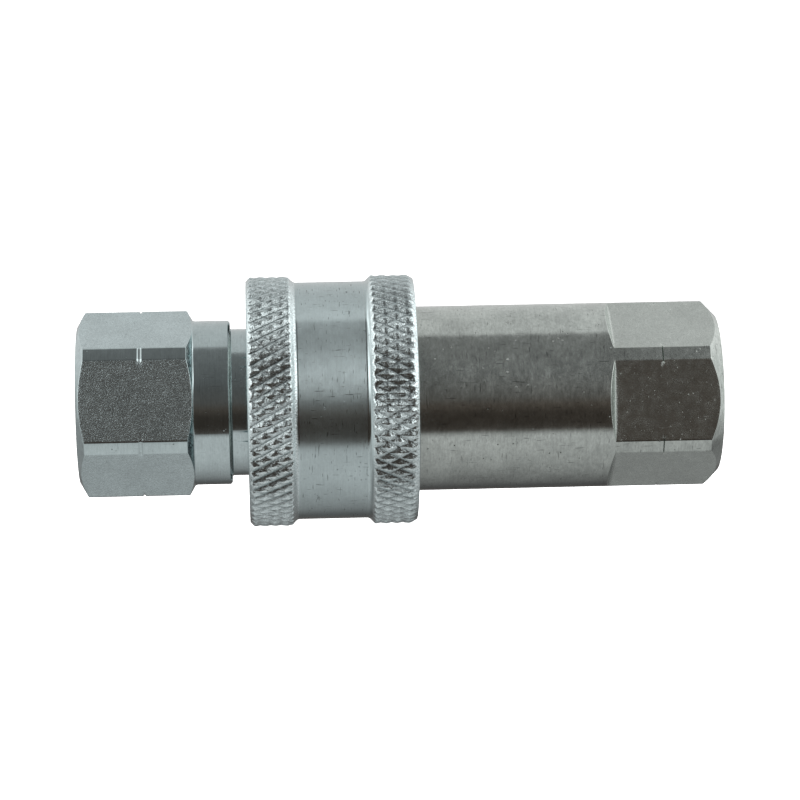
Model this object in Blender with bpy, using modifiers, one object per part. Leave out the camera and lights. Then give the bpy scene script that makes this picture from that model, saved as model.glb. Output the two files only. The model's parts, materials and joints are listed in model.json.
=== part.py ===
"""A ball-lock quick disconnect coupler for hydraulic lines, with its nipple plugged in.

The coupler lies along the world X axis, centred on the origin. Every piece is modelled
upright about its own Z axis and hung from one empty, which lays that axis along X.
Sizes are in millimetres, and MM turns them into the scene's metres. A station is a
distance along the axis from the nipple's port face, which is at station 0.
"""

import math

import bmesh
import bpy
from mathutils import Matrix, Vector

MM = 0.001

# Facets round a turned piece. Forty puts an edge line at each of the eight balls.
ROUND = 40
ROUND_INNER = 24
ROUND_SMALL = 16
RUN_GAP = 0.3

# The whole coupler.
LENGTH = 84.45
MIDDLE = LENGTH / 2

# Both wrench hexagons are 22 mm across flats, with their corners turned round.
HEX_FLAT = 11.0
HEX_CORNER = 12.22
END_FACE = 10.35
GROOVE_HALF = 0.4
GROOVE_DEPTH = 0.3

# Female pipe sockets, 3/8-18 taper thread, drawn at the crests of the thread.
PORT_MOUTH = 8.9
PORT_START = 7.6
PORT_END = 7.2
PORT_CHAMFER = 1.3
PORT_DEPTH = 12.5

# Nipple: hexagon, collar, neck, ball groove and nose.
NIPPLE_CHAMFER = 1.06
NIPPLE_MARK = 8.4
NIPPLE_HEX_TURN = 14.45
NIPPLE_HEX_END = 15.24
NIPPLE_CLOCKING = 2.3
COLLAR = 10.85
COLLAR_END = 20.1
COLLAR_BREAK = 0.25
NECK = 9.7
NOSE = 9.5
NIPPLE_TIP = 49.5

# Eight balls lock in the groove; they leave it by moving BALL_LIFT outwards.
BALL_COUNT = 8
BALL = 1.5875
BALL_STATION = 31.4
BALL_LOCKED = 10.24
BALL_LIFT = 0.95
BALL_HOLE = 1.65
BALL_GROOVE = 8.55
BALL_GROOVE_HALF = 0.75

# Coupler body: front tube over the nipple, and a round body with a hexagon at the port.
TUBE_START = 22.9
TUBE = 11.6
TUBE_END = 44.5
SOCKET = 9.85
SOCKET_END = 50.0
COUPLER_MARK = 76.4
COUPLER_FLATS = 70.1
COUPLER_RAMP = 53.6
COUPLER_CHAMFER = 82.65
COUPLER_CLOCKING = -4.6

# Seals round the nose of the nipple.
GLAND = 11.0
GLAND_START = 45.4
GLAND_END = 48.2
SEAL_CENTRE = 10.25
SEAL_SECTION = 0.68
SEAL_STATION = 47.35
BACKUP_INNER = 9.65
BACKUP_OUTER = 10.9
BACKUP_START = 45.55
BACKUP_END = 46.55

# Locking sleeve, drawn at the crests of its two knurled bands.
SLEEVE_FRONT = 22.3
SLEEVE_BACK = 44.4
SLEEVE_BAND = 16.55
SLEEVE_WAIST = 15.7
SLEEVE_CHAMFER = 0.6
FRONT_BAND_END = 27.75
BACK_BAND_START = 38.9
BACK_CHAMFER = 0.95
BACK_FACE = 16.0
SLEEVE_TRAVEL = 4.5
SLEEVE_MOUTH = 13.3
SLEEVE_RIB = 12.1
SLEEVE_RIB_START = 24.7
SLEEVE_RIB_END = 25.4
SLEEVE_RELIEF = 13.2
SLEEVE_BORE = 11.75
SLEEVE_BORE_START = 32.3
SLEEVE_CHAMBER = 14.0
SLEEVE_CHAMBER_START = 34.6
BALL_TO_SLEEVE = 0.1

# Front retaining ring, spring and washer of the sleeve.
FRONT_RING_INNER = 11.1
FRONT_RING_OUTER = 12.9
FRONT_RING_START = 23.6
FRONT_RING_END = 24.4
FRONT_GROOVE = 11.0
RING_TO_GROOVE = 0.1
RING_SPLIT = 2.4
SPRING_RADIUS = 12.8
SPRING_WIRE = 0.4
SPRING_TURNS = 4
SPRING_START = 34.75
SPRING_END = 43.35
WASHER_INNER = 11.75
WASHER_OUTER = 13.8
WASHER_START = 43.5
WASHER_END = 44.3

# The two valves are alike. Their sizes are measured back from the edge of the seat.
NIPPLE_SEAT = 46.0
COUPLER_SEAT = 52.5
MEETING = 50.2
VALVE_OPEN = 3.0
SEAT = 5.6
CHAMBER = 7.15
SEAT_DEPTH = 1.5
SEAT_TO_CONE = 0.3
POPPET_NOSE = 4.6
POPPET_NOSE_BREAK = 0.5
POPPET_HEAD = 6.3
POPPET_BACK = 3.0
STEM = 2.0
STEM_END = 13.5
POPPET_SEAL_CENTRE = 5.6
POPPET_SEAL_SECTION = 0.33
POPPET_SEAL_BACK = 0.55
POPPET_SEAL_GAP = 0.09
GUIDE = 7.0
GUIDE_FRONT = 13.8
GUIDE_BACK = 16.6
GUIDE_HUB = 3.3
GUIDE_HUB_FRONT = 10.3
GUIDE_HOLE = 2.2
FLOW_HOLE = 1.3
FLOW_HOLE_CENTRE = 4.95
FLOW_HOLE_COUNT = 6
VALVE_RING_INNER = 6.2
VALVE_RING_OUTER = 7.6
VALVE_RING_FRONT = 16.9
VALVE_RING_BACK = 17.7
VALVE_RING_GROOVE = 7.7
VALVE_SPRING_RADIUS = 4.4
VALVE_SPRING_WIRE = 0.5
VALVE_SPRING_TURNS = 5
VALVE_SPRING_GAP = 0.15

POINTS_PER_TURN = 14
CLOSE_TURN_PITCH = 1.15

COLOURS = {
    "zinc": ((0.62, 0.65, 0.64), 0.32, 1.0),
    "steel": ((0.56, 0.57, 0.58), 0.25, 1.0),
    "ball_steel": ((0.70, 0.71, 0.73), 0.10, 1.0),
    "spring_steel": ((0.42, 0.42, 0.43), 0.35, 1.0),
    "seal_rubber": ((0.02, 0.02, 0.02), 0.60, 0.0),
    "backup_plastic": ((0.85, 0.84, 0.80), 0.45, 0.0),
}


def clear_scene():
    for old in list(bpy.data.objects):
        bpy.data.objects.remove(old)


def new_collection(name):
    collection = bpy.data.collections.new(name)
    bpy.context.scene.collection.children.link(collection)
    return collection


def new_material(name, finish):
    colour, roughness, metallic = COLOURS[finish]
    material = bpy.data.materials.new(name)
    material.use_nodes = True
    shader = material.node_tree.nodes["Principled BSDF"]
    shader.inputs["Base Color"].default_value = (*colour, 1.0)
    shader.inputs["Roughness"].default_value = roughness
    shader.inputs["Metallic"].default_value = metallic
    return material


def place(station):
    """Height on a piece's own Z axis, in metres, of a station on the coupler."""
    return (station - MIDDLE) * MM


def hang(name, data, collection):
    """An object on the coupler's axis."""
    thing = bpy.data.objects.new(name, data)
    collection.objects.link(thing)
    thing.parent = axis
    return thing


def turned(name, outline, finish, facets=ROUND, ring=True):
    """Turn (radius, station) points about the axis, listed down the outer side."""
    points = [(radius * MM, 0.0, place(station)) for radius, station in outline]
    edges = [(index, index + 1) for index in range(len(points) - 1)]
    if ring:
        edges.append((len(points) - 1, 0))
    mesh = bpy.data.meshes.new(name)
    mesh.from_pydata(points, edges, [])
    mesh.materials.append(new_material(name, finish))
    part = hang(name, mesh, parts)
    screw = part.modifiers.new("turn", "SCREW")
    screw.steps = facets
    screw.render_steps = facets
    screw.use_merge_vertices = True
    screw.merge_threshold = 0.00001
    return part


def box_section(inner, outer, low, high):
    """The outline of a plain ring."""
    return [(outer, high), (outer, low), (inner, low), (inner, high)]


def v_groove(radius, station):
    """Three points of a turned mark, listed downwards."""
    top = (radius, station + GROOVE_HALF)
    bottom = (radius, station - GROOVE_HALF)
    return [top, (radius - GROOVE_DEPTH, station), bottom]


def torus(name, centre, section, station, finish, facets, sides):
    """A turned ring of round section."""
    outline = []
    for side in range(sides):
        turn = -math.tau * side / sides
        outline.append((centre + section * math.cos(turn), station + section * math.sin(turn)))
    return turned(name, outline, finish, facets)


def new_cutter(name, part, build):
    """Cut from a part the shape that build makes in a bmesh."""
    shape = bmesh.new()
    build(shape)
    mesh = bpy.data.meshes.new(name)
    shape.to_mesh(mesh)
    shape.free()
    cutter = hang(name, mesh, cutters)
    cutter.hide_render = True
    cutter.display_type = "WIRE"
    cut = part.modifiers.new(name, "BOOLEAN")
    cut.object = cutter
    cut.operation = "DIFFERENCE"
    cut.solver = "EXACT"


def block(shape, low, high, turn):
    """A box between two corners in millimetres, turned about the axis. Returns its points."""
    size = Vector(high) - Vector(low)
    middle = (Vector(high) + Vector(low)) / 2
    made = bmesh.ops.create_cube(shape, size=1.0)["verts"]
    bmesh.ops.scale(shape, vec=size * MM, verts=made)
    bmesh.ops.translate(shape, vec=middle * MM, verts=made)
    bmesh.ops.rotate(shape, matrix=Matrix.Rotation(turn, 3, "Z"), verts=made)
    return made


def cut_hexagon(part, low, high, clocking, low_ramp=None):
    """Cut six flats between two stations; low_ramp is the slope on which they start."""
    reach = 2.5
    half_width = 6.0
    start = -math.pi / 2 - math.radians(clocking)

    def build(shape):
        for side in range(6):
            turn = start + side * math.tau / 6
            corner = (HEX_FLAT, -half_width, low - MIDDLE)
            opposite = (HEX_FLAT + reach, half_width, high - MIDDLE)
            made = block(shape, corner, opposite, turn)
            if low_ramp is None:
                continue
            outwards = Vector((math.cos(turn), math.sin(turn), 0.0))
            for point in made:
                outer = point.co.dot(outwards) > (HEX_FLAT + reach / 2) * MM
                if outer and point.co.z < place((low + high) / 2):
                    point.co.z -= reach / math.tan(math.radians(low_ramp)) * MM

    new_cutter(part.name + "_flats", part, build)


def cut_holes(part, name, count, radius, facets, low, high, place_hole):
    """Cut equally spaced round holes. place_hole turns a hole along Z into its place."""

    def build(shape):
        for index in range(count):
            made = bmesh.ops.create_cone(
                shape,
                cap_ends=True,
                segments=facets,
                radius1=radius * MM,
                radius2=radius * MM,
                depth=(high - low) * MM,
                matrix=place_hole(index * math.tau / count),
            )
            bmesh.ops.recalc_face_normals(shape, faces=shape.faces[:])
            assert made["verts"]

    new_cutter(name, part, build)


def cut_split(part, radius, low, high):
    """Open a retaining ring by a gap, on the side that faces away from the front."""
    corner = (-RING_SPLIT / 2, 0.0, low - MIDDLE - 1.0)
    opposite = (RING_SPLIT / 2, radius + 1.0, high - MIDDLE + 1.0)
    new_cutter(part.name + "_split", part, lambda shape: block(shape, corner, opposite, 0.0))


def spring(name, radius, wire, turns, low, high):
    """A coil spring between two stations, with one close turn at each end."""
    rise = (high - low) - 2 * wire
    close = 2 * wire * CLOSE_TURN_PITCH
    pitch = (rise - 2 * close) / (turns - 2)
    points = []
    for step in range(turns * POINTS_PER_TURN + 1):
        turn = step / POINTS_PER_TURN
        height = close * min(turn, 1) + pitch * min(max(turn - 1, 0), turns - 2)
        height += close * max(turn - turns + 1, 0)
        angle = turn * math.tau
        along = place(low + wire + height)
        points.append((radius * MM * math.cos(angle), radius * MM * math.sin(angle), along, 1.0))
    curve = bpy.data.curves.new(name, "CURVE")
    curve.dimensions = "3D"
    curve.bevel_depth = wire * MM
    curve.bevel_resolution = 2
    curve.use_fill_caps = True
    spline = curve.splines.new("POLY")
    spline.points.add(len(points) - 1)
    for point, co in zip(spline.points, points):
        point.co = co
    curve.materials.append(new_material(name, "spring_steel"))
    return hang(name, curve, parts)


def lock_cone(station):
    """Radius of the sleeve's cone: a ball that lifts evenly as the sleeve slides follows it."""
    slope = BALL_LIFT / SLEEVE_TRAVEL
    clearance = (BALL + BALL_TO_SLEEVE) * math.hypot(1.0, slope)
    return BALL_LOCKED + clearance + slope * (BALL_STATION - station)


def port_outline(face, inwards):
    """The socket from its mouth to the end of its thread."""
    return [
        (PORT_MOUTH, face),
        (PORT_START, face + inwards * PORT_CHAMFER),
        (PORT_END, face + inwards * PORT_DEPTH),
    ]


def make_nipple_body():
    flank = NOSE - BALL_GROOVE + BALL_GROOVE_HALF
    back_flank = NECK - BALL_GROOVE + BALL_GROOVE_HALF
    ring_front = NIPPLE_SEAT - VALVE_RING_FRONT + RING_TO_GROOVE
    ring_back = NIPPLE_SEAT - VALVE_RING_BACK - RING_TO_GROOVE
    outline = [
        (NOSE - 0.6, NIPPLE_TIP),
        (NOSE, NIPPLE_TIP - 0.8),
        (NOSE, BALL_STATION + flank),
        (BALL_GROOVE, BALL_STATION + BALL_GROOVE_HALF),
        (BALL_GROOVE, BALL_STATION - BALL_GROOVE_HALF),
        (NECK, BALL_STATION - back_flank),
        (NECK, COLLAR_END),
        (COLLAR - COLLAR_BREAK, COLLAR_END),
        (COLLAR, COLLAR_END - COLLAR_BREAK),
        (COLLAR, NIPPLE_HEX_END),
        (HEX_CORNER, NIPPLE_HEX_TURN),
    ]
    outline += v_groove(HEX_CORNER, NIPPLE_MARK)
    outline += [(HEX_CORNER, NIPPLE_CHAMFER), (END_FACE, 0.0)]
    outline += port_outline(0.0, 1)
    outline += [
        (CHAMBER, PORT_DEPTH + 0.5),
        (CHAMBER, ring_back),
        (VALVE_RING_GROOVE, ring_back),
        (VALVE_RING_GROOVE, ring_front),
        (CHAMBER, ring_front),
        (CHAMBER, NIPPLE_SEAT - SEAT_DEPTH),
        (SEAT, NIPPLE_SEAT),
        (SEAT, NIPPLE_TIP),
    ]
    part = turned("nipple_body", outline, "zinc")
    cut_hexagon(part, -1.0, NIPPLE_HEX_END + 1.0, NIPPLE_CLOCKING)


def make_coupler_body():
    groove_low = FRONT_RING_START - RING_TO_GROOVE
    groove_high = FRONT_RING_END + RING_TO_GROOVE
    ring_front = COUPLER_SEAT + VALVE_RING_FRONT - RING_TO_GROOVE
    ring_back = COUPLER_SEAT + VALVE_RING_BACK + RING_TO_GROOVE
    outline = [(END_FACE, LENGTH), (HEX_CORNER, COUPLER_CHAMFER)]
    outline += v_groove(HEX_CORNER, COUPLER_MARK)
    outline += [
        (HEX_CORNER, TUBE_END),
        (TUBE, TUBE_END),
        (TUBE, groove_high),
        (FRONT_GROOVE, groove_high),
        (FRONT_GROOVE, groove_low),
        (TUBE, groove_low),
        (TUBE, TUBE_START + 0.3),
        (TUBE - 0.3, TUBE_START),
        (SOCKET + 0.45, TUBE_START),
        (SOCKET, TUBE_START + 0.45),
        (SOCKET, GLAND_START),
        (GLAND, GLAND_START),
        (GLAND, GLAND_END),
        (SOCKET, GLAND_END),
        (SOCKET, SOCKET_END),
        (SEAT, SOCKET_END),
        (SEAT, COUPLER_SEAT),
        (CHAMBER, COUPLER_SEAT + SEAT_DEPTH),
        (CHAMBER, ring_front),
        (VALVE_RING_GROOVE, ring_front),
        (VALVE_RING_GROOVE, ring_back),
        (CHAMBER, ring_back),
        (CHAMBER, LENGTH - PORT_DEPTH - 0.5),
    ]
    outline += reversed(port_outline(LENGTH, -1))
    part = turned("coupler_body", outline, "zinc")
    cut_hexagon(part, COUPLER_FLATS, LENGTH + 1.0, COUPLER_CLOCKING, COUPLER_RAMP)

    def radial_hole(angle):
        middle = Vector(((SOCKET + TUBE) / 2 * MM, 0.0, place(BALL_STATION)))
        lie_down = Matrix.Rotation(math.pi / 2, 4, "Y")
        return Matrix.Rotation(angle, 4, "Z") @ Matrix.Translation(middle) @ lie_down

    low = SOCKET - 1.0
    high = TUBE + 1.0
    cut_holes(part, "ball_holes", BALL_COUNT, BALL_HOLE, 20, low, high, radial_hole)


def make_sleeve():
    step = SLEEVE_BAND - SLEEVE_WAIST
    cone_end = BALL_STATION + 0.35
    outline = [
        (BACK_FACE, SLEEVE_BACK),
        (SLEEVE_BAND, SLEEVE_BACK - BACK_CHAMFER),
        (SLEEVE_BAND, BACK_BAND_START),
        (SLEEVE_WAIST, BACK_BAND_START - step),
        (SLEEVE_WAIST, FRONT_BAND_END + step),
        (SLEEVE_BAND, FRONT_BAND_END),
        (SLEEVE_BAND, SLEEVE_FRONT + SLEEVE_CHAMFER),
        (SLEEVE_BAND - SLEEVE_CHAMFER, SLEEVE_FRONT),
        (SLEEVE_MOUTH, SLEEVE_FRONT),
        (SLEEVE_MOUTH, SLEEVE_RIB_START),
        (SLEEVE_RIB, SLEEVE_RIB_START),
        (SLEEVE_RIB, SLEEVE_RIB_END),
        (SLEEVE_RELIEF, SLEEVE_RIB_END),
        (lock_cone(SLEEVE_RIB_END + 0.2), SLEEVE_RIB_END + 0.2),
        (lock_cone(cone_end), cone_end),
        (lock_cone(cone_end), SLEEVE_BORE_START),
        (SLEEVE_BORE, SLEEVE_BORE_START),
        (SLEEVE_BORE, SLEEVE_CHAMBER_START),
        (SLEEVE_CHAMBER, SLEEVE_CHAMBER_START),
        (SLEEVE_CHAMBER, SLEEVE_BACK),
    ]
    turned("sleeve", outline, "zinc")


def make_sleeve_fittings():
    low = FRONT_RING_START
    high = FRONT_RING_END
    outline = box_section(FRONT_RING_INNER, FRONT_RING_OUTER, low, high)
    ring = turned("sleeve_retaining_ring", outline, "steel")
    cut_split(ring, FRONT_RING_OUTER, low, high)
    outline = box_section(WASHER_INNER, WASHER_OUTER, WASHER_START, WASHER_END)
    turned("sleeve_spring_washer", outline, "steel")
    spring("sleeve_spring", SPRING_RADIUS, SPRING_WIRE, SPRING_TURNS, SPRING_START, SPRING_END)


def make_probe_seals():
    torus(
        "probe_seal_o_ring", SEAL_CENTRE, SEAL_SECTION, SEAL_STATION, "seal_rubber", ROUND, 8
    )
    outline = box_section(BACKUP_INNER, BACKUP_OUTER, BACKUP_START, BACKUP_END)
    turned("probe_backup_ring", outline, "backup_plastic")


def make_balls():
    ball_mesh = bpy.data.meshes.new("lock_ball")
    shape = bmesh.new()
    bmesh.ops.create_uvsphere(shape, u_segments=14, v_segments=8, radius=BALL * MM)
    shape.to_mesh(ball_mesh)
    shape.free()
    ball_mesh.materials.append(new_material("lock_ball", "ball_steel"))
    for index in range(BALL_COUNT):
        angle = index * math.tau / BALL_COUNT
        ball = hang(f"lock_ball_{index + 1}", ball_mesh, parts)
        across = BALL_LOCKED * MM
        up = place(BALL_STATION)
        ball.location = (across * math.cos(angle), across * math.sin(angle), up)


def behind(outline, seat, way):
    """Place an outline listed from far behind a seat to its front; way is +1 or -1."""
    placed = [(radius, seat + way * back) for radius, back in outline]
    return placed if way > 0 else placed[::-1]


def cone_back(radius):
    """How far behind the seat's edge the shut poppet's cone has this radius."""
    return SEAT_TO_CONE + (radius - SEAT) * SEAT_DEPTH / (CHAMBER - SEAT)


def make_poppet(side, seat, way):
    """The poppet of one valve and its ring seal, held open by the other poppet."""
    tip = way * (MEETING + way * RUN_GAP / 2 - seat) - VALVE_OPEN
    inner = POPPET_SEAL_CENTRE - POPPET_SEAL_SECTION - POPPET_SEAL_GAP
    outer = POPPET_SEAL_CENTRE + POPPET_SEAL_SECTION + POPPET_SEAL_GAP
    floor = POPPET_SEAL_BACK + POPPET_SEAL_SECTION + POPPET_SEAL_GAP
    shut = [
        (0.0, STEM_END),
        (STEM, STEM_END),
        (STEM, POPPET_BACK),
        (POPPET_HEAD, POPPET_BACK),
        (POPPET_HEAD, cone_back(POPPET_HEAD)),
        (outer, cone_back(outer)),
        (outer, floor),
        (inner, floor),
        (inner, cone_back(inner)),
        (POPPET_NOSE, cone_back(POPPET_NOSE)),
        (POPPET_NOSE, tip + POPPET_NOSE_BREAK),
        (POPPET_NOSE - POPPET_NOSE_BREAK, tip),
        (0.0, tip),
    ]
    outline = behind([(radius, back + VALVE_OPEN) for radius, back in shut], seat, way)
    turned(f"{side}_poppet", outline, "steel", ROUND_INNER, ring=False)
    station = seat + way * (POPPET_SEAL_BACK + VALVE_OPEN)
    centre = POPPET_SEAL_CENTRE
    section = POPPET_SEAL_SECTION
    torus(f"{side}_poppet_seal", centre, section, station, "seal_rubber", ROUND_INNER, 6)


def make_valve_guide(side, seat, way):
    """The spider that guides the poppet's stem, and the ring that keeps it in."""
    outline = [
        (GUIDE, GUIDE_BACK),
        (GUIDE, GUIDE_FRONT),
        (GUIDE_HUB, GUIDE_FRONT),
        (GUIDE_HUB, GUIDE_HUB_FRONT),
        (GUIDE_HOLE, GUIDE_HUB_FRONT),
        (GUIDE_HOLE, GUIDE_BACK),
    ]
    guide = turned(f"{side}_valve_guide", behind(outline, seat, way), "steel", ROUND_INNER)
    middle = seat + way * (GUIDE_FRONT + GUIDE_BACK) / 2

    def flow_hole(angle):
        centre = Vector((FLOW_HOLE_CENTRE * MM, 0.0, place(middle)))
        return Matrix.Rotation(angle, 4, "Z") @ Matrix.Translation(centre)

    low = GUIDE_FRONT - 1.0
    high = GUIDE_BACK + 1.0
    name = f"{side}_flow_holes"
    cut_holes(guide, name, FLOW_HOLE_COUNT, FLOW_HOLE, 12, low, high, flow_hole)
    ends = sorted((seat + way * VALVE_RING_FRONT, seat + way * VALVE_RING_BACK))
    outline = box_section(VALVE_RING_INNER, VALVE_RING_OUTER, *ends)
    ring = turned(f"{side}_guide_retaining_ring", outline, "steel", ROUND_INNER)
    cut_split(ring, VALVE_RING_OUTER, *ends)


def make_valve_spring(side, seat, way):
    front = POPPET_BACK + VALVE_OPEN + VALVE_SPRING_GAP
    back = GUIDE_FRONT - VALVE_SPRING_GAP
    ends = sorted((seat + way * front, seat + way * back))
    name = f"{side}_valve_spring"
    spring(name, VALVE_SPRING_RADIUS, VALVE_SPRING_WIRE, VALVE_SPRING_TURNS, *ends)


def finish_meshes():
    """Make each turned and cut piece a plain mesh, shaded smooth between its edges."""
    graph = bpy.context.evaluated_depsgraph_get()
    baked = {
        part: bpy.data.meshes.new_from_object(part.evaluated_get(graph))
        for part in parts.objects
        if part.modifiers
    }
    for part, mesh in baked.items():
        part.modifiers.clear()
        part.data = mesh
    for part in parts.objects:
        if part.type == "MESH":
            part.data.shade_smooth()
            part.data.set_sharp_from_angle(angle=math.radians(35))


clear_scene()
parts = new_collection("quick_disconnect_coupler")
cutters = new_collection("cutters")
axis = bpy.data.objects.new("coupler_axis", None)
axis.rotation_euler = (0.0, math.pi / 2, 0.0)
bpy.context.scene.collection.objects.link(axis)
make_nipple_body()
make_coupler_body()
make_sleeve()
make_sleeve_fittings()
make_probe_seals()
make_balls()
for valve in (("nipple", NIPPLE_SEAT, -1), ("coupler", COUPLER_SEAT, 1)):
    make_poppet(*valve)
    make_valve_guide(*valve)
    make_valve_spring(*valve)
finish_meshes()
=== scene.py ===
"""Looks for the quick disconnect coupler: its fine surfaces, materials, studio and camera.

Lengths are in millimetres until MM turns them into metres. A station is a distance along
the axis from the nipple's port face. An angle goes round the axis in degrees, from 0 at
the front (-Y) through 90 at the top (+Z). Every piece stands for one CAD node and lies
where that node lies.
"""

import json
import math
from collections import namedtuple

import bmesh
import bpy
import numpy as np
from mathutils import Matrix, Vector


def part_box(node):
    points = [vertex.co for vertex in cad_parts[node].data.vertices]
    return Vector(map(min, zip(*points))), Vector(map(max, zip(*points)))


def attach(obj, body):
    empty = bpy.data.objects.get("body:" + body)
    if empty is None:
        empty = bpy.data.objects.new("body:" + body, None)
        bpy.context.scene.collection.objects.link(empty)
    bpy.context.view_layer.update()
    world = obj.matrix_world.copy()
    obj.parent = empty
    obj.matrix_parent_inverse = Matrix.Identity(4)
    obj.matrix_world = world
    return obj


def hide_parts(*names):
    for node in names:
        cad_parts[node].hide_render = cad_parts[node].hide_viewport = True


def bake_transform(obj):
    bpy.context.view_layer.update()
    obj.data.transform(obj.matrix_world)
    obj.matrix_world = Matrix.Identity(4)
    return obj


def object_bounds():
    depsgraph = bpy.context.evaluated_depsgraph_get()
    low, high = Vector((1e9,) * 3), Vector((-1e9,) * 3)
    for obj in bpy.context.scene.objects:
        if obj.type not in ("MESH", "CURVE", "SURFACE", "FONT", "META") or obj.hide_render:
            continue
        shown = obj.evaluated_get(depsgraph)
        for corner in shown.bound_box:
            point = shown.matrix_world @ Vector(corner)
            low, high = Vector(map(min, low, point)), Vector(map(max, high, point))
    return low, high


MM = 0.001
SHARP_EDGE = math.radians(50)
NEARLY_STRAIGHT = math.radians(89.5)
LONGEST_SETBACK = 0.45

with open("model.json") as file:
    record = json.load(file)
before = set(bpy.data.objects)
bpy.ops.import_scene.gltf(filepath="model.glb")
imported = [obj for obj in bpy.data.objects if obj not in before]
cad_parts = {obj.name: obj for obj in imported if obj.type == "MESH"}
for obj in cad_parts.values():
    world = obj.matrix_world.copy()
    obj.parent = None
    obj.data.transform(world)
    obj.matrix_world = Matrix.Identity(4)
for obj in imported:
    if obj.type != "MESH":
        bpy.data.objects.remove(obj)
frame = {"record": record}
cad_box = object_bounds()
body_of_node = {
    node: body for body, nodes in frame["record"]["behaviour"]["bodies"].items() for node in nodes
}
axis_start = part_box("nipple_body")[0].x


def station_of(x):
    """The station of a place along the world's X axis."""
    return (x - axis_start) / MM


def ends(node):
    """First and last station of a CAD node."""
    low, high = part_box(node)
    return station_of(low.x), station_of(high.x)


def reach(node):
    """Greatest radius of a CAD node, in millimetres."""
    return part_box(node)[1].z / MM


LENGTH = ends("coupler_body")[1]

# Hexagons, 22 mm across flats with turned corners, and the ends of the two bodies. A mark's
# size is its half width and depth. A clocking turns a hexagon's front flat up, in degrees.
HEX_FLAT = 11.0
HEX_CORNER = 12.22
END_FACE = 10.35
HEX_EDGE = 0.45
FLAT_EDGE_SOFTNESS = 0.05
NIPPLE_MARK_SIZE = (0.2, 0.24)
COUPLER_MARK_SIZE = (0.075, 0.24)
NIPPLE_CLOCKING = 2.3
COUPLER_CLOCKING = -4.6

# Degrees from a flat's middle to its edge. Points lie a step apart until they stop short of
# the edge, and then at offsets from it. The flat's own material ends an inset before it.
FLAT_EDGE = math.degrees(math.acos(HEX_FLAT / HEX_CORNER))
FLAT_EDGE_OFFSETS = (-1.0, -0.6, -0.3, 0.0, 0.3, 0.6, 1.0, 2.4)
FLAT_STEP = 3.0
FLAT_STEPS_STOP = 1.5
FLAT_INSET = 0.5

# Female pipe thread, 18 to the inch.
PORT_MOUTH = 8.9
PORT_START = 7.6
PORT_END = 7.2
PORT_CHAMFER = 1.3
PORT_DEPTH = 12.5
PORT_STEP = 0.5
THREAD_PITCH = 25.4 / 18
THREAD_DEPTH = 1.0
THREAD_FLAT = 0.14
THREAD_RUNOUT = 1.6
THREAD_ROWS = 18
THREAD_ENDS = (0.1, PORT_DEPTH + 0.3)

# Nipple.
NIPPLE_CHAMFER = 1.06
NIPPLE_MARK = 8.4
NIPPLE_HEX_TURN = 14.45
NIPPLE_HEX_END = 15.24
COLLAR = 10.85
COLLAR_END = 20.1
COLLAR_BREAK = 0.25
NECK = 9.7
NOSE = 9.5
NOSE_CHAMFER = (0.8, 0.6)
NIPPLE_TIP = ends("nipple_body")[1]
BALL_GROOVE = 8.55
BALL_GROOVE_HALF = 0.75

# Valves, alike in both halves and measured back from the edge of the seat.
NIPPLE_SEAT = 46.0
COUPLER_SEAT = 52.5
SEAT = 5.6
SEAT_DEPTH = 1.5
CHAMBER = 7.15
VALVE_OPEN = 3.0
POPPET_NOSE = 4.6
POPPET_CHAMFER = 0.5
POPPET_GAP = 0.3
POPPET_CENTRE = 0.05
POPPET_HEAD = 6.3
POPPET_BACK = 3.0
STEM = 2.0
STEM_END = 13.5
SEAL_GROOVE = (5.18, 6.02)
SEAL_GROOVE_FLOOR = 0.97
GUIDE_FRONT = 13.8
GUIDE_BACK = 16.6
GUIDE = 7.0
GUIDE_HUB = 3.3
GUIDE_HUB_FRONT = 10.3
GUIDE_HOLE = 2.2
FLOW_HOLE = 1.3
FLOW_HOLE_CUT = 5.0
FLOW_HOLE_CENTRE = 4.95
FLOW_HOLES = 6
RING_GROOVE = 7.7
RING_GROOVE_BACK = (16.8, 17.8)
RING_INNER = 6.2
RING_GAP = 2.4

# Coupler body.
TUBE_START = ends("coupler_body")[0]
TUBE = 11.6
TUBE_CHAMFER = 0.3
TUBE_END = 44.5
FRONT_GROOVE = 11.0
FRONT_GROOVE_ENDS = (23.5, 24.5)
SOCKET = 9.85
SOCKET_CHAMFER = 0.45
SOCKET_END = 50.0
GLAND = 11.0
GLAND_ENDS = (45.4, 48.2)
COUPLER_FLATS = 70.1
COUPLER_RAMP = 60.0
LEAST_RAMP = 0.03
COUPLER_FLATS_FOOT = 0.2
COUPLER_MARK = 76.4
COUPLER_CHAMFER = 82.65
BALL_HOLE = 1.65
BALL_HOLE_CUT = TUBE - SOCKET + 2.0
BALL_STATION = 31.4
BALL_COUNT = 8
BALL = 1.5875

# Sleeve with its two knurled bands. A knurl is the depths of its two crossing grooves, and
# its form is how far up the teeth they reach and how rounded their shoulders are.
SLEEVE_FRONT, SLEEVE_BACK = ends("sleeve")
BAND = reach("sleeve")
WAIST = 15.7
FRONT_CHAMFER = 0.6
FRONT_BAND_END = 27.75
BACK_BAND_START = 38.9
BACK_CHAMFER = 0.95
BACK_FACE = 16.0
KNURL_TEETH = 64
KNURL_STEPS = 12
KNURL_EDGE = 0.12
KNURL_SHARP_EDGE = math.radians(26)
KNURL_PITCH = 2.81
KNURL_SPREAD = 0.05
KNURL_CRUMBLE = 0.045
KNURL_CRUMBLE_ROWS = 120
FRONT_KNURL = (0.20, 0.34)
FRONT_KNURL_FORM = (0.86, 1.2)
BACK_KNURL = (0.33, 0.29)
BACK_KNURL_FORM = (0.96, 1.1)
WAIST_FILLET = 0.8
WAIST_FILLET_STEPS = 6
FRONT_CHAMFER_STEPS = 3
SHOULDER_STEPS = 5
BACK_CHAMFER_STEPS = 4
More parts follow.
